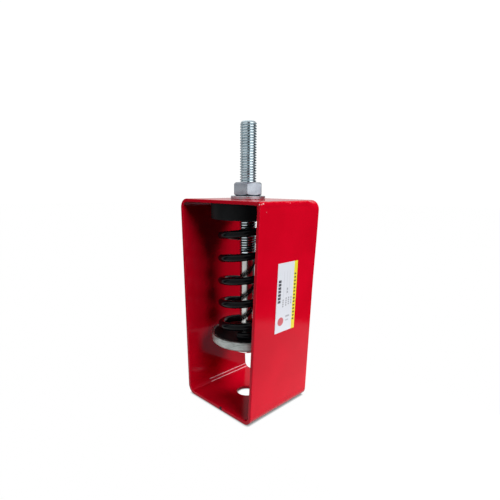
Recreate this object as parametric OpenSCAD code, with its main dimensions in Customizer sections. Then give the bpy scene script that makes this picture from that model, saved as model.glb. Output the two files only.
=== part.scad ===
// Hanging spring isolator: a folded steel frame is carried by a bolt through a coil spring.
// Sizes are in millimetres. The frame stands on Z = 0 and the bolt's axis is the Z axis.

/* [Frame] */
// Outside height of the folded frame
frame_height = 125; // [105:1:180]
// Outside width across the top bends
frame_top_width = 67.4; // [60:0.1:90]
// Outside width across the bottom bends
frame_bottom_width = 56.1; // [54:0.1:80]
// Depth of the strip that the frame is folded from
frame_depth = 50; // [46:1:70]
// Thickness of the strip
strip_thickness = 2; // [1.5:0.1:4]
// Inside radius of the four bends
bend_inner_radius = 3.5; // [1:0.1:5]
// Diameter of the hole in the bottom plate
lower_hole_diameter = 12; // [8:0.1:16]

/* [Bolt] */
// Outside diameter of the thread
thread_diameter = 10; // [8:0.1:12]
// Diameter of the plain shank below the thread
shank_diameter = 9; // [7:0.1:10]
// Length of the threaded part
thread_length = 76.4; // [50:0.1:90]
// Depth from the crest to the middle of the thread, where the nut turns on it
thread_relief = 0.35; // [0.3:0.05:0.45]
// Height of the set-in thread above the nut
relief_rise = 0.65; // [0.2:0.05:1.5]
// Length of the taper from the thread to the shank
runout_length = 1.5; // [0.5:0.1:3]
// Height of the bolt above the top plate
bolt_rise = 44.9; // [30:0.1:60]
// Chamfer at the bolt's upper end
end_chamfer = 1.2; // [0.5:0.1:2]
// Width of the hexagon across its flats
hex_width = 16; // [14:0.1:19]
// Thickness of the bolt's head
head_thickness = 6.4; // [5:0.1:9]
// Diameter of the flat that the corner chamfer leaves on the hexagon's end
hex_face_diameter = 14.2; // [13.5:0.1:18]
// Angle of the hexagon's corner chamfer
hex_chamfer_angle = 30; // [15:1:40]
// Turn of the head about the bolt's axis
head_turn = 15; // [0:1:59]

/* [Nut and washer] */
// Height of the nut
nut_height = 8; // [5:0.1:12]
// Turn of the nut about the bolt's axis
nut_turn = 12; // [0:1:59]
// Gap between the set-in thread and the nut's bore
nut_clearance = 0.02; // [0.01:0.01:0.1]
// Depth of the countersink at each end of the nut
nut_countersink = 0.6; // [0.2:0.1:1]
// Diameter of the washer
washer_diameter = 20.5; // [19.5:0.1:26]
// Thickness of the washer
washer_thickness = 2; // [1:0.1:3]

/* [Upper cup] */
// Diameter of the rubber cup under the top plate
upper_cup_diameter = 44; // [41:0.5:46]
// Height of the rubber cup
upper_cup_height = 9.5; // [8:0.1:14]
// Thickness of the cup's web above the spring
upper_cup_web = 4.7; // [3:0.1:6]
// Edge radius of the rubber pieces
rubber_edge = 0.8; // [0.3:0.1:1.2]
// Wall of the neck that lines the hole in the top plate
neck_wall = 2; // [1:0.1:2.5]
// Gap between the neck and the hole in the top plate
neck_gap = 0.3; // [0.1:0.05:0.5]
// Gap between the neck's end and the washer
neck_setback = 0.2; // [0.1:0.05:0.5]

/* [Seat] */
// Diameter of the pressed cup that carries the spring
seat_diameter = 44; // [42:0.5:46]
// Height of the pressed cup
seat_height = 6; // [4:0.1:8]
// Thickness of the pressed cup
seat_thickness = 1.5; // [1:0.1:2]
// Outside radius of the pressed cup's bend
seat_bend = 2.6; // [2.2:0.1:3.5]
// Height of the pressed cup above the frame's base
seat_level = 37; // [25:0.5:45]
// Height of the rubber pad above the cup's rim
pad_rise = 0.2; // [0:0.1:2]
// Gap between the pad and the cup's wall
pad_gap = 0.2; // [0.05:0.05:0.4]

/* [Spring] */
// Outside diameter of the coil
spring_diameter = 36; // [34:0.1:38]
// Diameter of the wire
wire_diameter = 4.5; // [3.5:0.1:5]
// Number of turns, end turns included
spring_turns = 6.4; // [5:0.1:7]
// Turns that lie flat at each end
flat_turns = 0.35; // [0.2:0.05:0.6]
// Turns over which the wire rises to its full pitch
rise_turns = 0.58; // [0.4:0.02:0.8]
// Depth ground off the end turns
end_grind = 0.3; // [0.1:0.05:0.8]
// Angle of the lower wire end about the Z axis
spring_start_angle = -64; // [-180:1:180]
// Gap between the coil and the cup around it
spring_gap = 0.5; // [0.3:0.05:1]

/* [Fits] */
// Gap between the bolt and the pieces that it passes through
bolt_gap = 0.3; // [0.2:0.05:0.6]

/* [Label] */
// Width of the label across the side wall
label_width = 17; // [8:0.5:40]
// Height of the label along the side wall
label_height = 40.5; // [20:0.5:60]
// Thickness of the label
label_thickness = 0.15; // [0.1:0.05:0.4]
// Distance of the label's centre up the side wall
label_level = 71; // [50:0.5:80]

/* [Hidden] */

$fn = 96;
EPS = 1;
WIRE_SIDES = 14;
STEPS_PER_TURN = 36;

PAINT = [0.80, 0.03, 0.11];
RUBBER = [0.07, 0.07, 0.07];
SPRING_BLACK = [0.10, 0.10, 0.12];
ZINC = [0.74, 0.75, 0.76];
PAPER = [0.93, 0.92, 0.89];

// Frame outline: each side wall leans outward from its foot
lean = (frame_top_width - frame_bottom_width) / (2 * frame_height);
lean_angle = atan(lean);
bend_radius = bend_inner_radius + strip_thickness;
foot_centre = [wall_x(bend_radius, bend_radius), bend_radius];
top_centre = [wall_x(frame_height - bend_radius, bend_radius), frame_height - bend_radius];

// Levels along the bolt's axis
plate_under = frame_height - strip_thickness;
washer_top = frame_height + washer_thickness;
nut_top = washer_top + nut_height;
bolt_top = frame_height + bolt_rise;
thread_bottom = bolt_top - thread_length;
cup_rim = plate_under - upper_cup_height;
spring_top = plate_under - upper_cup_web;
seat_floor = seat_level + seat_thickness;
seat_rim = seat_level + seat_height;
spring_bottom = seat_rim + pad_rise;

// Fits on the bolt
engaged_radius = thread_diameter / 2 - thread_relief;
passage_diameter = thread_diameter + 2 * bolt_gap;
neck_diameter = passage_diameter + 2 * neck_wall;
top_hole_diameter = neck_diameter + 2 * neck_gap;
pad_diameter = seat_diameter - 2 * seat_thickness - 2 * pad_gap;
recess_diameter = spring_diameter + 2 * spring_gap;

// Spring: the wire's middle line lies flat, rises to its pitch and lies flat again
wire_radius = wire_diameter / 2;
coil_radius = (spring_diameter - wire_diameter) / 2;
line_bottom = spring_bottom + wire_radius - end_grind;
line_top = spring_top - wire_radius + end_grind;
lost_turns = flat_turns + rise_turns / 2;
pitch = (line_top - line_bottom) / (spring_turns - 2 * lost_turns);
spring_steps = ceil(spring_turns * STEPS_PER_TURN);

// Half width of the frame at a height, set in from the outside by a distance
function wall_x(z, inset) =
    frame_bottom_width / 2 + lean * z - inset / cos(atan(lean));

// Rise of the wire's middle line after some turns from a flat end
function end_rise(turns) =
    turns < flat_turns ? 0 :
    turns < flat_turns + rise_turns ? pitch * pow(turns - flat_turns, 2) / (2 * rise_turns) :
    pitch * (turns - lost_turns);

// Height of the wire's middle line after some turns from the lower end
function line_height(turns) =
    turns < spring_turns / 2 ?
    line_bottom + end_rise(turns) :
    line_top - end_rise(spring_turns - turns);

// One point on the wire's skin, ground flat at both ends of the spring
function wire_point(turns, side) =
    let (
        angle = spring_start_angle + 360 * turns,
        radius = coil_radius + wire_radius * cos(side),
        height = line_height(turns) + wire_radius * sin(side)
    )
    [radius * cos(angle), radius * sin(angle), min(max(height, spring_bottom), spring_top)];

// Outline of the folded strip at one bend radius
module strip_outline(radius) {
    normal = [cos(lean_angle), -sin(lean_angle)] * radius;
    right = [
        foot_centre - [0, radius],
        foot_centre + normal,
        top_centre + normal,
        top_centre + [0, radius]
    ];
    left = [for (i = [3:-1:0]) [-right[i].x, right[i].y]];
    polygon(concat(right, left));
    for (centre = [foot_centre, top_centre], side = [-1, 1])
        translate([side * centre.x, centre.y])
            circle(radius);
}

// Half profile of a round dish with a bent lower edge
module dish_profile(radius, height, bend) {
    square([radius - bend, height]);
    translate([0, bend])
        square([radius, height - bend]);
    translate([radius - bend, bend])
        circle(bend);
}

// Hexagon with its corners chamfered at one or both ends
module hex_block(height, both_ends) {
    corner_radius = hex_width / (2 * cos(30));
    face_radius = hex_face_diameter / 2;
    drop = (corner_radius - face_radius) * tan(hex_chamfer_angle);
    lower = both_ends ? drop : 0;
    lower_radius = both_ends ? face_radius : corner_radius;
    intersection() {
        cylinder(h = height, r = corner_radius, $fn = 6);
        rotate_extrude()
            polygon([
                [0, 0],
                [lower_radius, 0],
                [corner_radius, lower],
                [corner_radius, height - drop],
                [face_radius, height],
                [0, height]
            ]);
    }
}

module box_frame() {
    color(PAINT)
        difference() {
            rotate([90, 0, 0])
                linear_extrude(height = frame_depth, center = true)
                    difference() {
                        strip_outline(bend_radius);
                        strip_outline(bend_inner_radius);
                    }
            translate([0, 0, -EPS])
                cylinder(h = strip_thickness + 2 * EPS, d = lower_hole_diameter);
            translate([0, 0, plate_under - EPS])
                cylinder(h = strip_thickness + 2 * EPS, d = top_hole_diameter);
        }
}

module upper_cup() {
    color(RUBBER)
        difference() {
            union() {
                translate([0, 0, cup_rim])
                    rotate_extrude()
                        dish_profile(upper_cup_diameter / 2, upper_cup_height, rubber_edge);
                translate([0, 0, plate_under - EPS])
                    cylinder(h = strip_thickness - neck_setback + EPS, d = neck_diameter);
            }
            translate([0, 0, cup_rim - EPS])
                cylinder(h = spring_top - cup_rim + EPS, d = recess_diameter);
            translate([0, 0, cup_rim])
                cylinder(h = upper_cup_height + strip_thickness, d = passage_diameter);
        }
}

module coil_spring() {
    points = [
        for (step = [0:spring_steps], side = [0:WIRE_SIDES - 1])
            wire_point(step * spring_turns / spring_steps, side * 360 / WIRE_SIDES)
    ];
    skin = [
        for (step = [0:spring_steps - 1], side = [0:WIRE_SIDES - 1])
            let (
                next = (side + 1) % WIRE_SIDES,
                a = step * WIRE_SIDES + side,
                b = step * WIRE_SIDES + next,
                c = (step + 1) * WIRE_SIDES + next,
                d = (step + 1) * WIRE_SIDES + side
            )
            each [[a, b, c], [a, c, d]]
    ];
    lower_end = [for (side = [WIRE_SIDES - 1:-1:0]) side];
    upper_end = [for (side = [0:WIRE_SIDES - 1]) spring_steps * WIRE_SIDES + side];
    color(SPRING_BLACK)
        polyhedron(points, concat(skin, [lower_end], [upper_end]));
}

module seat_pad() {
    half_height = (spring_bottom - seat_floor) / 2;
    color(RUBBER)
        difference() {
            translate([0, 0, seat_floor + half_height])
                rotate_extrude() {
                    translate([0, -half_height])
                        dish_profile(pad_diameter / 2, half_height, seat_bend - seat_thickness);
                    mirror([0, 1])
                        translate([0, -half_height])
                            dish_profile(pad_diameter / 2, half_height, rubber_edge);
                }
            translate([0, 0, seat_level])
                cylinder(h = spring_bottom, d = passage_diameter);
        }
}

module seat_cup() {
    color(ZINC)
        difference() {
            translate([0, 0, seat_level])
                rotate_extrude()
                    difference() {
                        dish_profile(seat_diameter / 2, seat_height, seat_bend);
                        translate([0, seat_thickness])
                            dish_profile(seat_diameter / 2 - seat_thickness, seat_height, seat_bend - seat_thickness);
                    }
            translate([0, 0, seat_level - EPS])
                cylinder(h = seat_thickness + 2 * EPS, d = passage_diameter);
        }
}

module hanger_bolt() {
    thread_radius = thread_diameter / 2;
    shank_radius = shank_diameter / 2;
    color(ZINC) {
        translate([0, 0, seat_level])
            rotate([180, 0, head_turn])
                hex_block(head_thickness, false);
        rotate_extrude()
            polygon([
                [0, seat_level - EPS],
                [shank_radius, seat_level - EPS],
                [shank_radius, thread_bottom - runout_length],
                [engaged_radius, thread_bottom],
                [engaged_radius, nut_top + relief_rise],
                [thread_radius, nut_top + relief_rise + thread_relief],
                [thread_radius, bolt_top - end_chamfer],
                [thread_radius - end_chamfer, bolt_top],
                [0, bolt_top]
            ]);
    }
}

module top_nut() {
    bore_radius = engaged_radius + nut_clearance;
    // Each countersink cone runs on past the nut's face at the same slope
    cone_height = nut_countersink + EPS;
    cone_radius = bore_radius + cone_height;
    color(ZINC)
        translate([0, 0, washer_top])
            difference() {
                rotate([0, 0, nut_turn])
                    hex_block(nut_height, true);
                translate([0, 0, -EPS])
                    cylinder(h = nut_height + 2 * EPS, r = bore_radius);
                translate([0, 0, -EPS])
                    cylinder(h = cone_height, r1 = cone_radius, r2 = bore_radius);
                translate([0, 0, nut_height - nut_countersink])
                    cylinder(h = cone_height, r1 = bore_radius, r2 = cone_radius);
            }
}

module top_washer() {
    color(ZINC)
        translate([0, 0, frame_height])
            difference() {
                cylinder(h = washer_thickness, d = washer_diameter);
                translate([0, 0, -EPS])
                    cylinder(h = washer_thickness + 2 * EPS, d = passage_diameter);
            }
}

module rating_label() {
    color(PAPER)
        translate([wall_x(label_level, 0), 0, label_level])
            rotate([0, lean_angle, 0])
                translate([0, -label_width / 2, -label_height / 2])
                    cube([label_thickness, label_width, label_height]);
}

box_frame();
upper_cup();
coil_spring();
seat_pad();
seat_cup();
hanger_bolt();
top_nut();
top_washer();
rating_label();
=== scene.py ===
"""Looks of a spring isolator: a red folded frame that hangs from a zinc bolt by a black spring."""

from __future__ import annotations

import logging
import math
from dataclasses import dataclass, field
from enum import Enum
from typing import Any, Callable, Mapping, Sequence

import bmesh
import bpy
from mathutils import Matrix, Vector, noise


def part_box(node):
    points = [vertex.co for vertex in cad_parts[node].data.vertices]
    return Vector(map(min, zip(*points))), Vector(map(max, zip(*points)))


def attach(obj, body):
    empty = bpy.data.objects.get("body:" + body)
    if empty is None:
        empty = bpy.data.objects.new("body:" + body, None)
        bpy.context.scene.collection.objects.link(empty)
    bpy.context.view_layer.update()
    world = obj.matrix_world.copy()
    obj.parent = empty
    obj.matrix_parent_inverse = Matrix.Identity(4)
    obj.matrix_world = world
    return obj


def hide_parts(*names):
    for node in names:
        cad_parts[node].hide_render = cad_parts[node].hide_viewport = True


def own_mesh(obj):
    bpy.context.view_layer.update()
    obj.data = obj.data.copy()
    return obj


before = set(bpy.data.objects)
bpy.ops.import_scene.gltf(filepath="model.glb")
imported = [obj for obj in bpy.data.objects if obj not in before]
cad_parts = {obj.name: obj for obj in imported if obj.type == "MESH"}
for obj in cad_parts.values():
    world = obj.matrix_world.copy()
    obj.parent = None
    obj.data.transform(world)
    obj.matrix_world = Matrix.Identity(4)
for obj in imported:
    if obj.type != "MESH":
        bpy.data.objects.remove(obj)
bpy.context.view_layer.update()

LOG = logging.getLogger("isolator")
MM = 0.001
PHOTO_PIXELS = 500
SENSOR_WIDTH = 36.0

Colour = tuple[float, float, float]
Span = tuple[float, float]


class Body(Enum):
    """Bodies that move apart."""

    FRAME = "frame"
    SEAT = "seat"
    BOLT = "bolt"


class Slot(Enum):
    """Material slots of the record."""

    PAINT = "red_paint"
    RUBBER = "rubber"
    SPRING = "spring_black"
    ZINC = "zinc"
    LABEL = "label"


class Axis(Enum):
    """Parts of a place vector."""

    X = 0
    Y = 1
    Z = 2


class Wire:
    """An output socket of a node tree that takes part in arithmetic."""

    def __init__(self, tree: NodeTree, socket: bpy.types.NodeSocket) -> None:
        """Keep the socket and the tree that it is in."""
        self.tree = tree
        self.socket = socket

    def __add__(self, other: Wire | float) -> Wire:
        """Add a value."""
        return self.tree.math("ADD", self, other)

    def __radd__(self, other: float) -> Wire:
        """Add to a value."""
        return self.tree.math("ADD", other, self)

    def __sub__(self, other: Wire | float) -> Wire:
        """Take a value away."""
        return self.tree.math("SUBTRACT", self, other)

    def __rsub__(self, other: float) -> Wire:
        """Take this away from a value."""
        return self.tree.math("SUBTRACT", other, self)

    def __mul__(self, other: Wire | float) -> Wire:
        """Multiply by a value."""
        return self.tree.math("MULTIPLY", self, other)

    def __rmul__(self, other: float) -> Wire:
        """Multiply a value."""
        return self.tree.math("MULTIPLY", other, self)

    def __truediv__(self, other: Wire | float) -> Wire:
        """Divide by a value."""
        return self.tree.math("DIVIDE", self, other)

    def __rtruediv__(self, other: float) -> Wire:
        """Divide a value by this."""
        return self.tree.math("DIVIDE", other, self)

    def at_least(self, low: Wire | float) -> Wire:
        """Keep the value at or above a limit."""
        return self.tree.math("MAXIMUM", self, low)

    def at_most(self, high: Wire | float) -> Wire:
        """Keep the value at or below a limit."""
        return self.tree.math("MINIMUM", self, high)

    def clamp(self) -> Wire:
        """Keep the value from 0 to 1."""
        return self.at_least(0.0).at_most(1.0)

    def fraction(self) -> Wire:
        """Part after the whole number."""
        return self.tree.math("FRACT", self)

    def magnitude(self) -> Wire:
        """Value without its sign."""
        return self.tree.math("ABSOLUTE", self)

    def smooth(self, low: float, high: float) -> Wire:
        """Rise smoothly from 0 at low to 1 at high.

        Args:
            low: Value where the rise starts.
            high: Value where the rise ends.

        Returns:
            The smoothed value.
        """
        settings = {"interpolation_type": "SMOOTHSTEP"}
        inputs = {"Value": self, "From Min": low, "From Max": high}
        return self.tree.out("ShaderNodeMapRange", settings, inputs)

    def within(self, low: float, high: float, edge: float) -> Wire:
        """Mask that is 1 between two values.

        Args:
            low: Lower end of the band.
            high: Upper end of the band.
            edge: Width of the soft edge.

        Returns:
            The mask, from 0 to 1.
        """
        return self.smooth(low - edge, low + edge) * (1 - self.smooth(high - edge, high + edge))

    def part(self, axis: Axis) -> Wire:
        """One part of a vector."""
        return self.tree.out("ShaderNodeSeparateXYZ", {}, {0: self}, axis.value)


class NodeTree:
    """A node tree with one way to add nodes."""

    MIX_FACTOR = 0
    MIX_COLOURS = (6, 7)
    MIX_RESULT = 2

    def __init__(self, tree: bpy.types.NodeTree) -> None:
        """Keep the tree."""
        self.tree = tree

    def node(
        self,
        kind: str,
        settings: Mapping[str, Any] | None = None,
        inputs: Mapping[str | int, Any] | None = None,
    ) -> bpy.types.Node:
        """Add a node.

        Args:
            kind: Node type.
            settings: Properties of the node, set before its sockets.
            inputs: Values or wires of its sockets, by name or place.

        Returns:
            The new node.
        """
        made = self.tree.nodes.new(kind)
        for name, value in (settings or {}).items():
            setattr(made, name, value)
        for key, value in (inputs or {}).items():
            if isinstance(value, Wire):
                self.tree.links.new(value.socket, made.inputs[key])
            else:
                made.inputs[key].default_value = value
        return made

    def out(
        self,
        kind: str,
        settings: Mapping[str, Any] | None = None,
        inputs: Mapping[str | int, Any] | None = None,
        output: str | int = 0,
    ) -> Wire:
        """Add a node and take one of its outputs.

        Args:
            kind: Node type.
            settings: Properties of the node.
            inputs: Values or wires of its sockets.
            output: Output socket, by name or place.

        Returns:
            The output as a wire.
        """
        return Wire(self, self.node(kind, settings, inputs).outputs[output])

    def math(self, operation: str, *values: Wire | float) -> Wire:
        """Add a Math node.

        Args:
            operation: Math operation.
            values: Values or wires in order.

        Returns:
            The result.
        """
        return self.out("ShaderNodeMath", {"operation": operation}, dict(enumerate(values)))

    def vector(self, x: Wire | float, y: Wire | float, z: Wire | float) -> Wire:
        """Join three values into a vector."""
        return self.out("ShaderNodeCombineXYZ", {}, {0: x, 1: y, 2: z})


class ShaderTree(NodeTree):
    """The node tree of one material."""

    def __init__(self, material: bpy.types.Material) -> None:
        """Start from the material's own shader node.

        Args:
            material: Material that uses nodes.
        """
        super().__init__(material.node_tree)
        self.shader = next(node for node in self.tree.nodes if node.type == "BSDF_PRINCIPLED")
        self.output = next(node for node in self.tree.nodes if node.type == "OUTPUT_MATERIAL")

    def place(self) -> Wire:
        """Place on the piece, in metres."""
        return self.out("ShaderNodeTexCoord", {}, {}, "Object")

    def noise(self, place: Wire, size: float, detail: float = 2.0) -> Wire:
        """Smooth noise.

        Args:
            place: Vector that the noise reads.
            size: Size of its blots, in metres.
            detail: Number of finer layers.

        Returns:
            Noise, about 0 to 1.
        """
        inputs = {"Vector": place, "Scale": 1.0 / size, "Detail": detail}
        return self.out("ShaderNodeTexNoise", {}, inputs, "Fac")

    def stretch(self, place: Wire, scale: Sequence[float]) -> Wire:
        """Scale a place vector along each axis."""
        return self.out("ShaderNodeVectorMath", {"operation": "MULTIPLY"}, {0: place, 1: tuple(scale)})

    def far_from(self, place: Wire, centre: Sequence[float]) -> Wire:
        """Distance from a point."""
        points = {0: place, 1: tuple(centre)}
        return self.out("ShaderNodeVectorMath", {"operation": "DISTANCE"}, points, "Value")

    def mix(self, factor: Wire | float, first: Wire | Colour, second: Wire | Colour) -> Wire:
        """Mix two colours.

        Args:
            factor: Share of the second colour.
            first: Colour at 0.
            second: Colour at 1.

        Returns:
            The mixed colour.
        """
        inputs: dict[int, Any] = {self.MIX_FACTOR: factor}
        for place, colour in zip(self.MIX_COLOURS, (first, second)):
            inputs[place] = colour if isinstance(colour, Wire) else (*colour, 1.0)
        return self.out("ShaderNodeMix", {"data_type": "RGBA"}, inputs, self.MIX_RESULT)

    def bump(self, height: Wire, depth: float, strength: float = 1.0, under: Wire | None = None) -> Wire:
        """Turn a height into a surface normal.

        Args:
            height: Height, from 0 to 1.
            depth: Depth of that range, in metres.
            strength: Share of the bump that shows.
            under: Normal of a bump below this one.

        Returns:
            The normal.
        """
        inputs: dict[str, Any] = {"Height": height, "Distance": depth, "Strength": strength}
        if under is not None:
            inputs["Normal"] = under
        return self.out("ShaderNodeBump", {}, inputs)

    def shade(self, **sockets: Wire | float | tuple[float, ...]) -> None:
        """Set the shader's sockets.

        Args:
            sockets: Values or wires, named with underscores for spaces.
        """
        for name, value in sockets.items():
            words = name.replace("_", " ").title().replace("Ior", "IOR")
            if isinstance(value, Wire):
                self.tree.links.new(value.socket, self.shader.inputs[words])
            else:
                self.shader.inputs[words].default_value = value

    def end_in(self, surface: Wire) -> None:
        """Let the material end in another surface than its own shader."""
        self.tree.links.new(surface.socket, self.output.inputs["Surface"])


class GeometryTree(NodeTree):
    """A Geometry Nodes tree with named sizes, which makes one plain mesh."""

    def __init__(self, name: str) -> None:
        """Start an empty tree with a geometry output.

        Args:
            name: Name of the tree.
        """
        super().__init__(bpy.data.node_groups.new(name, "GeometryNodeTree"))
        self.values: dict[str, Any] = {}
        self.tree.interface.new_socket("Geometry", in_out="OUTPUT", socket_type="NodeSocketGeometry")
        self.group_in = self.tree.nodes.new("NodeGroupInput")

    def size(self, name: str, value: float | int | bpy.types.Material) -> Wire:
        """Add a named input.

        Args:
            name: Name of the input.
            value: Value that the piece is made with.

        Returns:
            The input as a wire.
        """
        kinds = {float: "NodeSocketFloat", int: "NodeSocketInt"}
        kind = kinds.get(type(value), "NodeSocketMaterial")
        socket = self.tree.interface.new_socket(name, in_out="INPUT", socket_type=kind)
        self.values[socket.identifier] = value
        return Wire(self, next(out for out in self.group_in.outputs if out.identifier == socket.identifier))

    def round_place(self, radius: Wire, angle: Wire, height: Wire) -> Wire:
        """Place at a radius, an angle and a height round the Z axis.

        Args:
            radius: Distance from the axis.
            angle: Angle in radians.
            height: Height along the axis.

        Returns:
            The place as a vector.
        """
        x = radius * self.math("COSINE", angle)
        y = radius * self.math("SINE", angle)
        return self.vector(x, y, height)

    def move(self, shape: Wire, place: Wire) -> Wire:
        """Set every point of a shape to a place."""
        return self.out("GeometryNodeSetPosition", {}, {"Geometry": shape, "Position": place})

    def make(self, name: str, shape: Wire, material: bpy.types.Material) -> bpy.types.Object:
        """End the tree, run it and keep the result as a plain mesh.

        Args:
            name: Name of the new object.
            shape: Geometry that the tree ends in.
            material: Material of the whole mesh.

        Returns:
            The new object, with no modifier left.
        """
        smooth = self.out("GeometryNodeSetShadeSmooth", {}, {"Geometry": shape})
        real = self.out("GeometryNodeRealizeInstances", {}, {"Geometry": smooth})
        finish = self.size("Finish", material)
        dressed = self.out("GeometryNodeSetMaterial", {}, {"Geometry": real, "Material": finish})
        self.node("NodeGroupOutput", {}, {"Geometry": dressed})
        obj = add_object(name, bpy.data.meshes.new(name))
        modifier = obj.modifiers.new(name, "NODES")
        modifier.node_group = self.tree
        for identifier, value in self.values.items():
            modifier[identifier] = value
        bake_modifiers(obj)
        return obj


def smoothstep(low: float, high: float, value: float) -> float:
    """Rise smoothly from 0 at low to 1 at high."""
    share = min(max((value - low) / (high - low), 0.0), 1.0)
    return share * share * (3 - 2 * share)


def add_object(name: str, data: bpy.types.ID) -> bpy.types.Object:
    """Add an object to the scene.

    Args:
        name: Name of the object.
        data: Its mesh, light or camera.

    Returns:
        The new object.
    """
    obj = bpy.data.objects.new(name, data)
    bpy.context.scene.collection.objects.link(obj)
    return obj


def add_material(name: str) -> bpy.types.Material:
    """Add a material that uses nodes.

    Args:
        name: Name of the material.

    Returns:
        The new material.
    """
    material = bpy.data.materials.new(name)
    material.use_nodes = True
    return material


def bake_modifiers(obj: bpy.types.Object) -> None:
    """Turn an object's modifiers into plain mesh.

    Args:
        obj: Object, changed in place.
    """
    graph = bpy.context.evaluated_depsgraph_get()
    mesh = bpy.data.meshes.new_from_object(obj.evaluated_get(graph), depsgraph=graph)
    obj.modifiers.clear()
    obj.data = mesh
    mesh.name = obj.name


def softened_copy(
    node: str,
    name: str,
    material: bpy.types.Material,
    edge: float,
    cut_above: float | None = None,
    shape: Callable[[bmesh.types.BMesh], None] | None = None,
) -> bpy.types.Object:
    """Copy a CAD node with its sharp edges eased.

    Args:
        node: CAD node.
        name: Name of the new object.
        material: Material of the new object.
        edge: Width of the eased edges, in metres.
        cut_above: Height above which the copy is cut away, if any.
        shape: Work done on the copy after its edges are eased, if any.

    Returns:
        The new object.
    """
    crease = math.radians(28)
    flat = math.radians(0.2)
    edge_steps = 3
    touch = 0.0002 * MM
    mesh = bpy.data.meshes.new(name)
    work = bmesh.new()
    work.from_mesh(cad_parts[node].data)
    bmesh.ops.remove_doubles(work, verts=work.verts, dist=touch)
    if cut_above is not None:
        whole = [*work.verts, *work.edges, *work.faces]
        cut = bmesh.ops.bisect_plane(
            work, geom=whole, plane_co=(0, 0, cut_above), plane_no=(0, 0, 1), clear_outer=True
        )
        rim = [part for part in cut["geom_cut"] if isinstance(part, bmesh.types.BMEdge)]
        bmesh.ops.holes_fill(work, edges=rim)
    bmesh.ops.dissolve_limit(work, angle_limit=flat, verts=work.verts, edges=work.edges)
    work.to_mesh(mesh)
    work.free()
    mesh.polygons.foreach_set("use_smooth", [True] * len(mesh.polygons))
    mesh.materials.clear()
    mesh.materials.append(material)
    obj = add_object(name, mesh)
    bevel = obj.modifiers.new("eased_edges", "BEVEL")
    bevel.width = edge
    bevel.segments = edge_steps
    bevel.limit_method = "ANGLE"
    bevel.angle_limit = crease
    bake_modifiers(obj)
    reshape(obj.data, shape)
    obj.modifiers.new("even_normals", "WEIGHTED_NORMAL").keep_sharp = True
    bake_modifiers(obj)
    return obj


def reshape(mesh: bpy.types.Mesh, shape: Callable[[bmesh.types.BMesh], None] | None) -> None:
    """Do some work on a mesh, then merge points that almost touch.

    Args:
        mesh: Mesh, changed in place.
        shape: The work, if any.
    """
    gap = 0.002 * MM
    work = bmesh.new()
    work.from_mesh(mesh)
    if shape is not None:
        shape(work)
    bmesh.ops.remove_doubles(work, verts=work.verts, dist=gap)
    bmesh.ops.dissolve_degenerate(work, edges=work.edges, dist=gap)
    work.to_mesh(mesh)
    work.free()


def join_meshes(target: bpy.types.Object, other: bpy.types.Object) -> None:
    """Add another object's mesh, with its material, to a target and remove that object.

    Args:
        target: Object that keeps both meshes.
        other: Object that is added.
    """
    work = bmesh.new()
    work.from_mesh(target.data)
    first = len(work.faces)
    work.from_mesh(other.data)
    work.faces.ensure_lookup_table()
    for face in work.faces[first:]:
        face.material_index = len(target.data.materials)
    target.data.materials.append(other.data.materials[-1])
    work.to_mesh(target.data)
    work.free()
    bpy.data.objects.remove(other)


def seat_piece(obj: bpy.types.Object, body: Body, slot: Slot, *nodes: str) -> None:
    """Let a finished piece ride on its body in place of CAD nodes.

    Args:
        obj: The finished piece.
        body: Body that carries it.
        slot: Material slot that it takes. Not used.
        nodes: CAD nodes that it stands for.
    """
    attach(obj, body.value)
    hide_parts(*nodes)
    LOG.info("%s rides on %s with %d faces", obj.name, body.value, len(obj.data.polygons))


@dataclass(frozen=True)
class Finish:
    """A surface finish that makes its own material."""

    name: str

    def material(self) -> bpy.types.Material:
        """Make the material.

        Returns:
            The new material.
        """
        made = add_material(self.name)
        self.paint(ShaderTree(made))
        return made

    def paint(self, tree: ShaderTree) -> None:
        """Add the finish's nodes to its tree."""
        raise NotImplementedError


@dataclass(frozen=True)
class Chip:
    """A small spot where the paint is knocked, in millimetres."""

    centre: tuple[float, float, float]
    radius: float
    colour: Colour = (0.75, 0.45, 0.46)


@dataclass(frozen=True)
class PaintedHighlight:
    """A fine bright painted highlight along a bend, where the bend would catch the light, in millimetres.
    """

    x: float
    z: float
    start: float
    end: float
    width: float = 0.34
    colour: Colour = (0.90, 0.50, 0.56)


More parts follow.
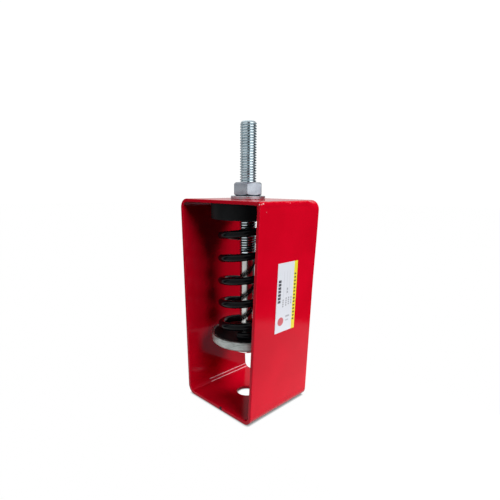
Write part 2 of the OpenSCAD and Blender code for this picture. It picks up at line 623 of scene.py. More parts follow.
@dataclass(frozen=True)
class GlossPaint(Finish):
    """Glossy enamel on folded steel."""

    deep: Colour = (0.47, 0.0008, 0.0105)
    bright: Colour = (0.53, 0.0010, 0.0130)
    glint: Colour = (1.0, 0.62, 0.95)
    specular: float = 0.14
    roughness: float = 0.10
    roughness_spread: float = 0.05
    cloud_size: float = 28 * MM
    cloud_range: Span = (0.3, 0.7)
    sheen_range: Span = (0.2, 0.8)
    peel_size: float = 1.3 * MM
    peel_depth: float = 0.006 * MM
    peel_strength: float = 0.4
    wave_size: float = 17 * MM
    wave_depth: float = 0.05 * MM
    wave_strength: float = 0.5
    ragged_size: float = 0.4 * MM
    ragged_share: float = 0.8
    chip_edge: Span = (0.7, 1.0)
    highlight_edge: Span = (0.5, 1.0)
    highlight_gaps: Span = (0.3, 0.5)
    chips: tuple[Chip, ...] = ()
    painted_highlights: tuple[PaintedHighlight, ...] = ()

    def paint(self, tree: ShaderTree) -> None:
        """Mix the reds, add orange peel, the chips and the painted highlights.

        Args:
            tree: Tree of the paint's material.
        """
        place = tree.place()
        cloud = tree.noise(place, self.cloud_size)
        peel = tree.noise(place, self.peel_size)
        wave = tree.noise(place, self.wave_size, detail=1.0)
        red = tree.mix(cloud.smooth(*self.cloud_range), self.deep, self.bright)
        ragged = tree.noise(place, self.ragged_size)
        for chip in self.chips:
            away = tree.far_from(place, [value * MM for value in chip.centre]) / (chip.radius * MM)
            torn = away + ragged * self.ragged_share - self.ragged_share / 2
            red = tree.mix(1 - torn.smooth(*self.chip_edge), red, chip.colour)
        # Painted highlights: bright dashed pink lines along the inner bend, standing in for light caught by
        # the bend.
        for painted_highlight in self.painted_highlights:
            middle = (painted_highlight.x * MM, 0, painted_highlight.z * MM)
            away = tree.far_from(tree.stretch(place, (1, 0, 1)), middle) / (painted_highlight.width * MM)
            length = place.part(Axis.Y).within(painted_highlight.start * MM, painted_highlight.end * MM, MM)
            line = (1 - away.smooth(*self.highlight_edge)) * length * ragged.smooth(*self.highlight_gaps)
            red = tree.mix(line, red, painted_highlight.colour)
        waves = tree.bump(wave, self.wave_depth, self.wave_strength)
        tree.shade(
            base_color=red,
            roughness=cloud.smooth(*self.sheen_range) * self.roughness_spread + self.roughness,
            normal=tree.bump(peel, self.peel_depth, self.peel_strength, waves),
            specular_ior_level=self.specular,
            specular_tint=(*self.glint, 1.0),
        )


@dataclass(frozen=True)
class ZincPlate(Finish):
    """Zinc plating, clouded or streaked, with painted shade, partly grime, in a thread's roots, and nearly
    black painted shade in them below a level.

    Its gloss is its lowest roughness, and a thread is given by the radii of its roots and crests.
    """

    light: Colour = (0.78, 0.89, 0.94)
    dull: Colour = (0.64, 0.74, 0.79)
    gloss: float = 0.20
    cloud_roughness: float = 0.12
    grain_roughness: float = 0.04
    streaks: float = 0.0
    streak_cloud: float = 0.4
    root: float = 0.0
    crest: float = 0.0
    root_shade: float = 0.12
    root_roughness: float = 0.3
    # Height below which painted shade darkens the roots further, how softly it fades in, and how much it
    # adds.
    housed_shade_level: float = 0.0
    housed_shade_fade: float = 3 * MM
    housed_shade: float = 0.85
    cloud_size: float = 5 * MM
    worn_range: Span = (0.35, 0.7)
    grain_size: float = 0.35 * MM
    streak_size: float = 1.2 * MM
    streak_shape: tuple[float, float, float] = (0.3, 0.3, 3)

    def paint(self, tree: ShaderTree) -> None:
        """Cloud and streak the plating, and paint shade into the thread's roots, much deeper below a level.

        Args:
            tree: Tree of the plating's material.
        """
        place = tree.place()
        cloud = tree.noise(place, self.cloud_size, detail=3.0)
        grain = tree.noise(place, self.grain_size)
        rough = cloud * self.cloud_roughness + grain * self.grain_roughness + self.gloss
        worn = cloud.smooth(*self.worn_range)
        if self.streaks:
            lines = tree.noise(tree.stretch(place, self.streak_shape), self.streak_size, detail=3.0)
            worn = (worn * self.streak_cloud + lines.smooth(*self.worn_range) * self.streaks).clamp()
        colour = tree.mix(worn, self.light, self.dull)
        # Painted shade, with some grime, darkens the thread's roots between the crests.
        if self.crest:
            away = tree.far_from(tree.stretch(place, (1, 1, 0)), (0, 0, 0))
            unshaded = away.smooth(self.root, self.crest)
            # Painted shade: below the level, inside the frame, the roots are painted nearly black.
            housed = 1 - place.part(Axis.Z).smooth(self.housed_shade_level - self.housed_shade_fade, self.housed_shade_level)
            dark = (1 - unshaded) * (housed * self.housed_shade + self.root_shade)
            colour = tree.mix(dark, colour, (0.0, 0.0, 0.0))
            rough = rough + (1 - unshaded) * self.root_roughness
        tree.shade(base_color=colour, metallic=1.0, roughness=rough)


@dataclass(frozen=True)
class SpringLacquer(Finish):
    """Glossy black lacquer on spring wire."""

    black: Colour = (0.002, 0.0024, 0.0032)
    grey: Colour = (0.004, 0.005, 0.007)
    specular: float = 0.12
    roughness: float = 0.08
    roughness_spread: float = 0.06
    cloud_size: float = 6 * MM
    peel_size: float = 0.8 * MM
    peel_depth: float = 0.006 * MM
    peel_strength: float = 0.3

    def paint(self, tree: ShaderTree) -> None:
        """Vary the black and its gloss.

        Args:
            tree: Tree of the lacquer's material.
        """
        place = tree.place()
        cloud = tree.noise(place, self.cloud_size)
        peel = tree.noise(place, self.peel_size)
        tree.shade(
            base_color=tree.mix(cloud, self.black, self.grey),
            roughness=cloud * self.roughness_spread + self.roughness,
            normal=tree.bump(peel, self.peel_depth, self.peel_strength),
            specular_ior_level=self.specular,
        )


@dataclass(frozen=True)
class BlackRubber(Finish):
    """Matte moulded rubber."""

    black: Colour = (0.003, 0.0035, 0.004)
    bloom: Colour = (0.008, 0.009, 0.010)
    specular: float = 0.10
    roughness: float = 0.42
    roughness_spread: float = 0.12
    cloud_size: float = 9 * MM
    bloom_range: Span = (0.35, 0.8)
    grain_size: float = 0.5 * MM
    grain_depth: float = 0.02 * MM
    grain_strength: float = 0.4

    def paint(self, tree: ShaderTree) -> None:
        """Add the bloom and the fine moulded grain.

        Args:
            tree: Tree of the rubber's material.
        """
        place = tree.place()
        cloud = tree.noise(place, self.cloud_size, detail=3.0)
        grain = tree.noise(place, self.grain_size, detail=3.0)
        tree.shade(
            base_color=tree.mix(cloud.smooth(*self.bloom_range), self.black, self.bloom),
            roughness=cloud * self.roughness_spread + self.roughness,
            normal=tree.bump(grain, self.grain_depth, self.grain_strength),
            specular_ior_level=self.specular,
        )


@dataclass(frozen=True)
class PrintRow:
    """A row of plain dashes, by its place on the label from 0 to 1."""

    left: float
    right: float
    start: float
    end: float
    dashes: int
    fill: float = 0.7
    weight: float = 0.6


PRINT_ROWS = (
    PrintRow(0.065, 0.205, 0.43, 0.77, 7, 0.75, 1.0),
    PrintRow(0.31, 0.37, 0.36, 0.48, 4),
    PrintRow(0.335, 0.345, 0.50, 0.88, 1, 1.0, 0.35),
    PrintRow(0.46, 0.52, 0.37, 0.50, 4),
    PrintRow(0.485, 0.495, 0.52, 0.88, 1, 1.0, 0.35),
    PrintRow(0.50, 0.56, 0.55, 0.64, 2),
    PrintRow(0.59, 0.65, 0.38, 0.50, 4),
    PrintRow(0.615, 0.625, 0.52, 0.88, 1, 1.0, 0.35),
    PrintRow(0.72, 0.77, 0.38, 0.50, 3),
    PrintRow(0.50, 0.70, 0.205, 0.23, 1, 1.0, 0.5),
    PrintRow(0.50, 0.66, 0.15, 0.17, 1, 1.0, 0.4),
    PrintRow(0.86, 0.95, 0.12, 0.84, 14, 0.45, 1.0),
)


@dataclass(frozen=True)
class StickerPrint(Finish):
    """White sticker with a yellow band and plain ruled fields."""

    low: tuple[float, float] = (0.0, 0.0)
    high: tuple[float, float] = (1.0, 1.0)
    paper: Colour = (0.61, 0.63, 0.68)
    band: Colour = (0.70, 0.61, 0.03)
    ink: Colour = (0.03, 0.03, 0.04)
    dot: Colour = (0.50, 0.10, 0.12)
    dot_place: tuple[float, float] = (0.26, 0.16)
    dot_radius: float = 2.6 * MM
    dot_edge: float = 0.2 * MM
    band_start: float = 0.83
    band_edge: float = 0.005
    row_edge: float = 0.012
    end_edge: float = 0.004
    dash_edge: float = 0.04
    wear_size: float = 0.5 * MM
    wear_range: Span = (0.25, 0.5)
    wear: float = 0.4
    sheen_size: float = 2 * MM
    roughness: float = 0.30
    roughness_spread: float = 0.1
    coat: float = 0.3
    coat_roughness: float = 0.15

    def paint(self, tree: ShaderTree) -> None:
        """Lay out the band, a plain dot and the dashes by place on the label.

        Args:
            tree: Tree of the sticker's material.
        """
        place = tree.place()
        across = (place.part(Axis.Y) - self.low[0]) / (self.high[0] - self.low[0])
        along = (place.part(Axis.Z) - self.low[1]) / (self.high[1] - self.low[1])
        band = across.smooth(self.band_start - self.band_edge, self.band_start + self.band_edge)
        kept = tree.noise(place, self.wear_size).smooth(*self.wear_range)
        dashes = self.dashes(across, along) * (kept * self.wear + (1 - self.wear))
        middle = [low + (high - low) * part for low, high, part in zip(self.low, self.high, self.dot_place)]
        away = tree.far_from(tree.stretch(place, (0, 1, 1)), (0, *middle))
        dot = 1 - away.smooth(self.dot_radius - self.dot_edge, self.dot_radius)
        ground = tree.mix(dot, tree.mix(band, self.paper, self.band), self.dot)
        tree.shade(
            base_color=tree.mix(dashes, ground, self.ink),
            roughness=tree.noise(place, self.sheen_size) * self.roughness_spread + self.roughness,
            coat_weight=self.coat,
            coat_roughness=self.coat_roughness,
        )

    def dashes(self, across: Wire, along: Wire) -> Wire:
        """Print the rows of dashes.

        Args:
            across: Place across the label, from 0 to 1.
            along: Place along the label, from 0 to 1.

        Returns:
            How much ink each place takes.
        """
        ink = across * 0.0
        for row in PRINT_ROWS:
            inside = across.within(row.left, row.right, self.row_edge)
            inside = inside * along.within(row.start, row.end, self.end_edge)
            step = ((along - row.start) * (row.dashes / (row.end - row.start))).fraction()
            dash = step.within(0.5 - row.fill / 2, 0.5 + row.fill / 2, self.dash_edge)
            ink = ink.at_least(inside * dash * row.weight)
        return ink


@dataclass
class FoldedFrame:
    """Red frame folded from one strip and welded at its top right corner, with its label."""

    height: float = field(init=False)
    half_depth: float = field(init=False)
    half_top: float = 33.7 * MM
    half_bottom: float = 28.05 * MM
    eased_edge: float = 0.35 * MM
    label_edge: float = 0.04 * MM
    bend_radius: float = 5.5 * MM
    bend_inner_radius: float = 3.5 * MM
    weld_radius: float = 2.0 * MM
    weld_inner_radius: float = 0.4 * MM
    weld_end_radius: float = 6.2 * MM
    weld_tail: float = 13 * MM
    bead_height: float = 0.40 * MM
    bead_core: float = 0.4 * MM
    bead_reach: float = 3.4 * MM
    bead_grain: float = 2.2 * MM
    bead_finer: float = 2.3
    bead_finer_share: float = 0.5
    bead_level: float = 0.9
    bead_spread: float = 1.1
    bead_slant: float = 0.7
    bow: float = 0.6 * MM
    bow_start: float = 9 * MM
    bow_foot: float = 70 * MM
    bow_top: float = 115 * MM
    slice_step: float = 1 * MM
    corner_step: float = 0.45 * MM
    corner_cuts: int = 15
    level_step: float = 10 * MM
    # Turns round the inner bend, and the span along it, of the two painted highlight lines.
    highlight_turns: tuple[float, ...] = (math.radians(28), math.radians(62))
    highlight_span: Span = (-9, 24.5)
    chips: tuple[Chip, ...] = (
        Chip((33.2, -25.0, 123.6), 0.40),
        Chip((33.4, -22.3, 124.0), 0.45),
        Chip((33.5, -23.4, 123.6), 0.35),
        Chip((33.6, -11.2, 124.8), 0.30),
        Chip((33.6, -1.0, 123.9), 0.25),
        Chip((33.4, 9.6, 124.9), 0.25),
        Chip((33.4, -20.0, 119.6), 0.22),
        Chip((3.2, -25.0, 1.2), 1.3, (0.02, 0.01, 0.01)),
    )

    def __post_init__(self) -> None:
        """Take the height and the depth from the CAD frame."""
        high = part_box("box_frame")[1]
        self.height, self.half_depth = high.z, high.y

    @property
    def lean(self) -> float:
        """Sideways run of a wall for each unit of height."""
        return (self.half_top - self.half_bottom) / self.height

    def build(self) -> None:
        """Make the frame and the label and seat them."""
        red = GlossPaint("red_enamel", chips=self.chips, painted_highlights=self.painted_highlights()).material()
        shell = softened_copy("box_frame", "painted_frame", red, self.eased_edge, shape=self.shape_weld)
        seat_piece(shell, Body.FRAME, Slot.PAINT, "box_frame")
        low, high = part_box("rating_label")
        print_finish = StickerPrint("label_print", (low.y, low.z), (high.y, high.z))
        label = softened_copy("rating_label", "side_label", print_finish.material(), self.label_edge)
        seat_piece(label, Body.FRAME, Slot.LABEL, "rating_label")

    def painted_highlights(self) -> tuple[PaintedHighlight, ...]:
        """Two painted highlight lines along the inner bend at the bottom left.

        Returns:
            The lines, in millimetres.
        """
        middle_x = self.bend_radius * (math.hypot(1, self.lean) - self.lean) - self.half_bottom
        lines = []
        for turn in self.highlight_turns:
            x = middle_x - self.bend_inner_radius * math.cos(turn)
            z = self.bend_radius - self.bend_inner_radius * math.sin(turn)
            lines.append(PaintedHighlight(x / MM, z / MM, *self.highlight_span))
        return tuple(lines)

    def shape_weld(self, work: bmesh.types.BMesh) -> None:
        """Cut the mesh finely at the welded corner, round and roughen it, and bow the wall behind it.

        Args:
            work: Mesh of the frame, changed in place.
        """
        lean = self.lean
        slant = math.hypot(1, lean)
        slices = round(self.half_depth / self.slice_step)
        depths = [step * self.corner_step for step in range(1, self.corner_cuts + 1)]
        low_level = round(self.bow_foot / self.level_step) - 1
        high_level = math.floor(self.bow_top / self.level_step)
        cuts = [((0, step * self.slice_step, 0), (0, 1, 0)) for step in range(1 - slices, slices)]
        cuts += [((0, 0, self.height - depth), (0, 0, 1)) for depth in depths]
        cuts += [((self.half_top - depth * slant, 0, self.height), (1, 0, -lean)) for depth in depths]
        cuts += [((0, 0, level * self.level_step), (0, 0, 1)) for level in range(low_level, high_level + 1)]
        for point, normal in cuts:
            whole = [*work.verts, *work.edges, *work.faces]
            bmesh.ops.bisect_plane(work, geom=whole, plane_co=point, plane_no=normal)
        for vert in work.verts:
            wall = self.half_bottom + lean * vert.co.z
            inward = (wall - vert.co.x) / slant
            down = self.height - vert.co.z
            if max(inward, down) < depths[-1]:
                inward, down = self.weld_point(vert.co.y, inward, down)
                vert.co.z = self.height - down
                vert.co.x = self.half_bottom + lean * vert.co.z - inward * slant
            if vert.co.x > self.half_bottom / 2:
                back = smoothstep(self.bow_start, self.half_depth, vert.co.y)
                vert.co.x += self.bow * back * smoothstep(self.bow_foot, self.bow_top, vert.co.z)

    def weld_point(self, along: float, inward: float, down: float) -> tuple[float, float]:
        """Move one point near the welded corner.

        Args:
            along: Place along the corner.
            inward: Distance in from the wall's outside.
            down: Distance down from the plate's top.

        Returns:
            The new distances, in and down.
        """
        end = smoothstep(self.weld_tail, self.half_depth, along)
        radius = self.weld_radius + (self.weld_end_radius - self.weld_radius) * end
        inward, down = self.sharpen(min(radius, self.bend_radius), inward, down)
        if inward < radius and down < radius:
            reach = math.hypot(radius - inward, radius - down)
            if reach > radius:
                inward = radius - (radius - inward) * radius / reach
                down = radius - (radius - down) * radius / reach
        near = 1 - smoothstep(self.bead_core, self.bead_reach, math.hypot(inward, down))
        spot = Vector((inward - down, along, inward + down)) / self.bead_grain
        rough = noise.noise(spot) + self.bead_finer_share * noise.noise(spot * self.bead_finer)
        height = self.bead_height * near * (1 - end) * (self.bead_level + self.bead_spread * rough)
        return inward - height * self.bead_slant, down - height * self.bead_slant

    def sharpen(self, radius: float, inward: float, down: float) -> tuple[float, float]:
        """Draw a point of the bend out towards the welded corner.

        Args:
            radius: Outside radius of the welded corner.
            inward: Distance in from the wall's outside.
            down: Distance down from the plate's top.

        Returns:
            The new distances, in and down.
        """
        bend, inside = self.bend_radius, self.bend_inner_radius
        side, rise = bend - inward, bend - down
        reach = math.hypot(side, rise)
        if min(side, rise) <= 0 or reach < inside / 2:
            return inward, down
        outer = self.corner_reach(side / reach, rise / reach, bend, radius)
        inner = self.corner_reach(side / reach, rise / reach, inside, self.weld_inner_radius)
        share = (reach - inside) / (bend - inside)
        drawn = (inner + share * (outer - inner)) / reach
        return bend - side * drawn, bend - rise * drawn

    @staticmethod
    def corner_reach(side: float, rise: float, half: float, radius: float) -> float:
        """Distance from a square's middle to its outline, past a rounded corner.

        Args:
            side: Sideways part of the direction.
            rise: Upward part of the direction.
            half: Half of the square's side.
            radius: Radius of its corner.

        Returns:
            The distance along that direction.
        """
        flat = half / max(side, rise)
        middle = half - radius
        if flat * min(side, rise) <= middle:
            return flat
        return middle * (side + rise) + math.sqrt(radius**2 - (middle * (side - rise)) ** 2)


@dataclass
class SpringStack:
    """Rubber cup, coil spring, rubber pad and pressed seat."""

    wire_diameter: float = 4.5 * MM
    turns: float = 6.4
    flat_turns: float = 0.35
    rise_turns: float = 0.58
    end_grind: float = 0.3 * MM
    start_angle: float = math.radians(-64)
    rings_per_turn: int = 72
    wire_sides: int = 28
    rubber_edge: float = 0.3 * MM
    steel_edge: float = 0.3 * MM
    travel: float = 25 * MM
    sharp_angle: float = math.radians(50)
    rubber_finish: Finish = BlackRubber("black_rubber")
    seat_finish: Finish = ZincPlate("seat_zinc", (0.48, 0.51, 0.50), (0.24, 0.27, 0.26), 0.36, streaks=0.8)
    wire_finish: Finish = SpringLacquer("spring_lacquer")

    def build(self) -> None:
        """Make the four pieces and seat them."""
        rubber = self.rubber_finish.material()
        zinc = self.seat_finish.material()
        cup = softened_copy("upper_cup", "rubber_cup", rubber, self.rubber_edge)
        seat_piece(cup, Body.FRAME, Slot.RUBBER, "upper_cup")
        pad = softened_copy("seat_pad", "rubber_pad", rubber, self.rubber_edge)
        seat_piece(pad, Body.SEAT, Slot.RUBBER, "seat_pad")
        seat = softened_copy("seat_cup", "pressed_seat", zinc, self.steel_edge)
        seat_piece(seat, Body.SEAT, Slot.ZINC, "seat_cup")
        coil = self.coil(self.wire_finish.material())
        seat_piece(coil, Body.FRAME, Slot.SPRING, "coil_spring")
        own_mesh(coil)

    def coil(self, material: bpy.types.Material) -> bpy.types.Object:
        """Wind the wire along its helix and grind its ends flat.

        Args:
            material: Finish of the wire.

        Returns:
            The spring as a plain mesh.
        """
        low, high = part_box("coil_spring")
        tree = GeometryTree("wound_spring")
        wire = tree.size("Wire Radius", self.wire_diameter / 2)
        radius = tree.size("Coil Radius", high.x - self.wire_diameter / 2)
        bottom = tree.size("Bottom", low.z)
        top = tree.size("Top", high.z)
        turns = tree.size("Turns", self.turns)
        flat = tree.size("Flat Turns", self.flat_turns)
        rise = tree.size("Rise Turns", self.rise_turns)
        grind = tree.size("End Grind", self.end_grind)
        start = tree.size("Start Angle", self.start_angle)
        rings = tree.size("Rings", round(self.turns * self.rings_per_turn))
        sides = tree.size("Wire Sides", self.wire_sides)

        line_bottom = bottom + wire - grind
        line_top = top - wire + grind
        lost = flat + rise / 2
        pitch = (line_top - line_bottom) / (turns - 2 * lost)

        def climb(along: Wire) -> Wire:
            """Rise of the wire from a flat end.

            Args:
                along: Turns from that end.

            Returns:
                The rise.
            """
            curved = (along - flat).at_least(0.0).at_most(rise)
            straight = (along - flat - rise).at_least(0.0)
            return pitch * (curved * curved / (2 * rise) + straight)

        line = tree.out("GeometryNodeCurvePrimitiveLine")
        steps = tree.out("GeometryNodeResampleCurve", {}, {"Curve": line, "Count": rings})
        along = tree.out("GeometryNodeSplineParameter", {}, {}, "Factor") * turns
        angle = start + along * math.tau
        height = climb(along) - climb(turns - along) + line_top - pitch * (along - lost)
        path = tree.move(steps, tree.round_place(radius, angle, height))
        ring = tree.out("GeometryNodeCurvePrimitiveCircle", {}, {"Resolution": sides, "Radius": wire})
        shapes = {"Curve": path, "Profile Curve": ring, "Fill Caps": True}
        skin = tree.out("GeometryNodeCurveToMesh", {}, shapes)
        spot = tree.out("GeometryNodeInputPosition")
        ground = spot.part(Axis.Z).at_least(bottom).at_most(top)
        flat_ended = tree.move(skin, tree.vector(spot.part(Axis.X), spot.part(Axis.Y), ground))
        obj = tree.make("coil", flat_ended, material)
        obj.data.set_sharp_from_angle(angle=self.sharp_angle)
        return obj


@dataclass
class HangerBolt:
    """Zinc bolt with its thread, nut and washer."""

    thread_radius: float = 4.95 * MM
    thread_pitch: float = 1.5 * MM
    thread_depth: float = 0.85 * MM
    root_share: float = 0.14
    flank_share: float = 0.46
    shank_radius: float = 4.5 * MM
    thread_length: float = 76.4 * MM
    runout: float = 1.5 * MM
    end_chamfer: float = 1.2 * MM
    rows_per_pitch: int = 16
    spare_turns: int = 3
    turns_below: int = 2
    sides: int = 64
    merge_gap: float = 0.002 * MM
    sharp_angle: float = math.radians(35)
    # Radii between which the painted shade in the thread's roots fades out towards the crests.
    root_shade_radius: float = 4.05 * MM
    unshaded_radius: float = 4.85 * MM
    thread_gloss: float = 0.10
    eased_edge: float = 0.25 * MM
    nut_finish: Finish = ZincPlate("nut_zinc", (0.40, 0.44, 0.49), (0.29, 0.32, 0.37))
    shank_finish: Finish = ZincPlate("shank_zinc", (0.80, 0.80, 0.78), (0.66, 0.66, 0.65), 0.10)
    washer_finish: Finish = ZincPlate("washer_zinc", (0.56, 0.62, 0.66), (0.46, 0.50, 0.54), 0.38)

    def build(self) -> None:
        """Make the bolt, nut and washer and seat them."""
        zinc = self.nut_finish.material()
        drawn = self.shank_finish.material()
        rolled = self.thread_finish().material()
        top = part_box("hanger_bolt")[1].z
        foot = top - self.thread_length - self.runout
        bolt = softened_copy("hanger_bolt", "threaded_bolt", drawn, self.eased_edge, cut_above=foot)
        thread = self.thread(foot, top, rolled)
        join_meshes(bolt, thread)
        seat_piece(bolt, Body.BOLT, Slot.ZINC, "hanger_bolt")
        nut = softened_copy("top_nut", "hex_nut", zinc, self.eased_edge)
        seat_piece(nut, Body.BOLT, Slot.ZINC, "top_nut")
        dull = self.washer_finish.material()
        washer = softened_copy("top_washer", "flat_washer", dull, self.eased_edge)
        seat_piece(washer, Body.FRAME, Slot.ZINC, "top_washer")

    def thread_finish(self) -> Finish:
        """Zinc with painted shade in its roots, much darker below the washer.

        Returns:
            The finish of the thread.
        """
        return ZincPlate(
            "thread_zinc",
            gloss=self.thread_gloss,
            root=self.root_shade_radius,
            crest=self.unshaded_radius,
            # The thread is painted darker, as shade, below the washer's underside.
            housed_shade_level=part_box("top_washer")[0].z,
        )

    def thread(self, foot: float, top: float, material: bpy.types.Material) -> bpy.types.Object:
        """Roll the thread as one sheet that climbs round the bolt.

        Args:
            foot: Height where the plain shank ends.
            top: Height of the bolt's end.
            material: Finish of the thread.

        Returns:
            The threaded part as a plain mesh.
        """
        turns = math.ceil((top - foot + self.thread_radius) / self.thread_pitch + self.spare_turns)
        rows = turns * self.rows_per_pitch
        tree = GeometryTree("rolled_thread")
        crest = tree.size("Crest Radius", self.thread_radius)
        depth = tree.size("Depth", self.thread_depth)
        pitch = tree.size("Pitch", self.thread_pitch)
        shank = tree.size("Shank Radius", self.shank_radius)
        start = tree.size("Foot", foot)
        end = tree.size("End", top)
        runout = tree.size("Runout", self.runout)
        chamfer = tree.size("Chamfer", self.end_chamfer)
        row_count = tree.size("Rows", rows + 1)
        side_count = tree.size("Sides", self.sides + 1)

        counts = {"Vertices X": side_count, "Vertices Y": row_count}
        sheet = tree.out("GeometryNodeMeshGrid", {}, {"Size X": 1.0, "Size Y": 1.0, **counts})
        spot = tree.out("GeometryNodeInputPosition")
        around = spot.part(Axis.X) + 0.5
        row = (spot.part(Axis.Y) + 0.5) * turns
        rise = start + pitch * (row + around - self.turns_below)
        flank = ((row.fraction() * 2 - 1).magnitude() - self.root_share) / self.flank_share
        ridge = crest - depth + depth * flank.clamp()
        share = ((rise - start) / runout).clamp()
        body = shank + (ridge - shank) * share
        tip = (crest - chamfer + end - rise).at_least(0.0)
        heel = (shank + shank * (rise - start) / pitch).at_least(0.0)
        radius = body.at_most(tip).at_most(heel)
        height = rise.at_least(start).at_most(end)
        rolled = tree.move(sheet, tree.round_place(radius, around * math.tau, height))
        seam = {"Geometry": rolled, "Distance": self.merge_gap}
        closed = tree.out("GeometryNodeMergeByDistance", {}, seam)
        obj = tree.make("thread", closed, material)
        obj.data.set_sharp_from_angle(angle=self.sharp_angle)
        return obj


@dataclass(frozen=True)
class Softbox:
    """A lamp that faces the object from two angles in degrees, and isn't mirrored in it."""

    name: str
    azimuth: float
    elevation: float
    width: float
    height: float
    power: float
    distance: float = 0.9


@dataclass(frozen=True)
class Sector:
    """A part of the tent between two compass angles in degrees, with its own tone."""

    start: float
    end: float
    tone: float


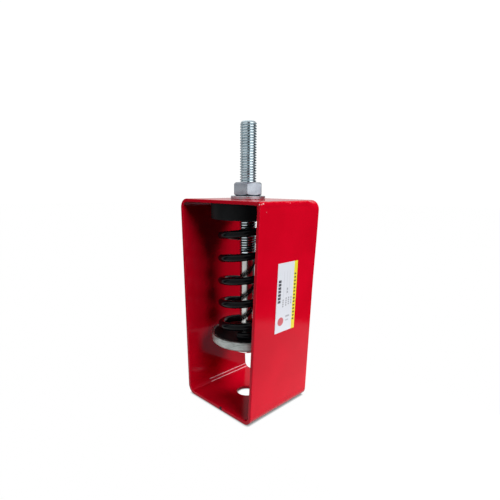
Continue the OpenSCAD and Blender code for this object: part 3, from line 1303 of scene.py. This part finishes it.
@dataclass
class Studio:
    """Floor, light and camera."""

    camera_place: tuple[float, float, float] = (0.1686, -0.1679, 0.1324)
    camera_yaw: float = math.radians(-44.76)
    camera_pitch: float = math.radians(-9.13)
    camera_roll: float = math.radians(0.50)
    focal_pixels: float = 394.3
    near_clip: float = 10 * MM
    aim: tuple[float, float, float] = (0.0, 0.0, 0.075)
    floor_side: float = 6.0
    floor_tone: Colour = (0.03, 0.03, 0.03)
    card_tone: Colour = (0.70, 0.70, 0.70)
    card_across: Span = (34 * MM, 150 * MM)
    card_along: Span = (-30 * MM, 90 * MM)
    floor_white: float = 0.96
    white: float = 1.04
    floor_roughness: float = 0.9
    contact: float = 1.5 * MM
    contact_samples: int = 8
    ambient: float = 0.02
    tent_inner: float = 0.155
    tent_outer: float = 1.6
    tent_height: float = 1.2
    tent_steps: int = 60
    tent_dark: float = 0.03
    sector_edge: float = 6.0
    sectors: tuple[Sector, ...] = (
        Sector(-22, 28, 1.50),
        Sector(90, 174, 0.60),
        Sector(-174, -150, 0.55),
        Sector(-134, -58, 0.64),
    )
    softboxes: tuple[Softbox, ...] = (
        Softbox("key_softbox", -11, 31, 0.85, 1.07, 43.0, 2.4),
        Softbox("back_softbox", 32, 39, 0.80, 0.80, 47.0, 2.4),
        Softbox("corner_softbox", 112, 54, 0.22, 0.22, 4.9),
        Softbox("front_softbox", 262, 8, 0.3, 0.3, 3.4),
        Softbox("left_softbox", 180, 14, 0.6, 0.6, 26.0, 2.4),
    )

    def build(self) -> None:
        """Set the floor, the tent, the lamps, the world and the camera."""
        self.floor()
        self.tent()
        self.world()
        for box in self.softboxes:
            self.lamp(box)
        self.camera()

    def tent(self) -> None:
        """Stand a tent round the floor that only shows in reflections."""
        rows = ((self.tent_inner, MM), (self.tent_outer, MM), (self.tent_outer, self.tent_height))
        verts = []
        for step in range(self.tent_steps):
            angle = math.tau * step / self.tent_steps
            verts += [(radius * math.cos(angle), radius * math.sin(angle), z) for radius, z in rows]
        count = len(rows)
        total = len(verts)
        faces = [
            (base, base + 1, (base + count + 1) % total, (base + count) % total)
            for step in range(self.tent_steps)
            for base in range(step * count, step * count + count - 1)
        ]
        mesh = bpy.data.meshes.new("tent")
        mesh.from_pydata(verts, [], faces)
        material = add_material("tent_cloth")
        tree = ShaderTree(material)
        place = tree.place()
        compass = tree.math("ARCTAN2", place.part(Axis.Y), place.part(Axis.X)) * math.degrees(1)
        tone: Wire | float = self.tent_dark
        for sector in self.sectors:
            share = compass.within(sector.start, sector.end, self.sector_edge)
            tone = share * (sector.tone - self.tent_dark) + tone
        tree.end_in(tree.out("ShaderNodeEmission", {}, {"Strength": tone}))
        mesh.materials.append(material)
        obj = add_object("tent", mesh)
        for rays in ("camera", "diffuse", "transmission", "volume_scatter", "shadow"):
            setattr(obj, f"visible_{rays}", False)

    def floor(self) -> None:
        """Lay a white floor that keeps the object's shadow, with a card that lights the right wall."""
        half = self.floor_side / 2
        mesh = bpy.data.meshes.new("floor")
        corners = [(-half, -half, 0), (half, -half, 0), (half, half, 0), (-half, half, 0)]
        mesh.from_pydata(corners, [], [(0, 1, 2, 3)])
        material = add_material("white_floor")
        tree = ShaderTree(material)
        place = tree.place()
        across = place.part(Axis.X).within(*self.card_across, MM)
        along = place.part(Axis.Y).within(*self.card_along, MM)
        ground = tree.mix(across * along, self.floor_tone, self.card_tone)
        tree.shade(base_color=ground, roughness=self.floor_roughness, specular_ior_level=0.0)
        seen = self.seen(tree)
        samples = {"samples": self.contact_samples}
        open_sky = tree.out("ShaderNodeAmbientOcclusion", samples, {"Distance": self.contact}, "AO")
        white = tree.out("ShaderNodeEmission", {}, {"Strength": open_sky * self.white})
        lit = Wire(tree, tree.shader.outputs[0])
        tree.end_in(tree.out("ShaderNodeMixShader", {}, {0: seen * self.floor_white, 1: lit, 2: white}))
        mesh.materials.append(material)
        obj = add_object("floor", mesh)

    @staticmethod
    def seen(tree: NodeTree) -> Wire:
        """Mask of the rays that look at the background, straight or by reflection.

        Args:
            tree: Tree that takes the mask.

        Returns:
            The mask, 0 or 1.
        """
        light = tree.node("ShaderNodeLightPath")
        mask = Wire(tree, light.outputs["Is Camera Ray"])
        for name in ("Is Glossy Ray", "Is Transmission Ray"):
            mask = mask.at_least(Wire(tree, light.outputs[name]))
        return mask

    def world(self) -> None:
        """Give even light, with white behind the object."""
        world = bpy.data.worlds.new("studio")
        world.use_nodes = True
        bpy.context.scene.world = world
        tree = NodeTree(world.node_tree)
        sky = next(node for node in world.node_tree.nodes if node.type == "BACKGROUND")
        seen = self.seen(tree)
        strength = seen * (self.white - self.ambient) + self.ambient
        world.node_tree.links.new(strength.socket, sky.inputs["Strength"])
        sky.inputs["Color"].default_value = (1, 1, 1, 1)

    def lamp(self, box: Softbox) -> None:
        """Hang one softbox.

        Args:
            box: The lamp's place, size and power.
        """
        data = bpy.data.lights.new(box.name, "AREA")
        data.shape = "RECTANGLE"
        data.size = box.width
        data.size_y = box.height
        data.energy = box.power
        obj = add_object(box.name, data)
        azimuth, elevation = math.radians(box.azimuth), math.radians(box.elevation)
        level = math.cos(elevation)
        away = Vector((math.cos(azimuth) * level, math.sin(azimuth) * level, math.sin(elevation)))
        place = Vector(self.aim) + away * box.distance
        obj.matrix_world = Matrix.Translation(place) @ away.to_track_quat("Z", "Y").to_matrix().to_4x4()
        obj.visible_glossy = False

    def camera(self) -> None:
        """Stand the camera where the photograph was taken."""
        yaw, pitch, roll = self.camera_yaw, self.camera_pitch, self.camera_roll
        ahead = Vector((math.sin(yaw) * math.cos(pitch), math.cos(yaw) * math.cos(pitch), math.sin(pitch)))
        level = Vector((math.cos(yaw), -math.sin(yaw), 0))
        above = level.cross(ahead)
        right = math.cos(roll) * level + math.sin(roll) * above
        up = math.cos(roll) * above - math.sin(roll) * level
        data = bpy.data.cameras.new("camera")
        data.sensor_fit = "HORIZONTAL"
        data.sensor_width = SENSOR_WIDTH
        data.lens = self.focal_pixels / PHOTO_PIXELS * SENSOR_WIDTH
        data.clip_start = self.near_clip
        obj = add_object("camera", data)
        turn = Matrix((right, up, -ahead)).transposed().to_4x4()
        obj.matrix_world = Matrix.Translation(self.camera_place) @ turn
        bpy.context.scene.camera = obj


def main() -> None:
    """Build the isolator, then the studio around it."""
    logging.basicConfig(level=logging.INFO, format="%(name)s: %(message)s")
    bpy.context.scene.view_settings.view_transform = "Standard"
    for assembly in (FoldedFrame(), SpringStack(), HangerBolt(), Studio()):
        assembly.build()
        LOG.info("%s built", type(assembly).__name__)


if __name__ == "__main__":
    main()
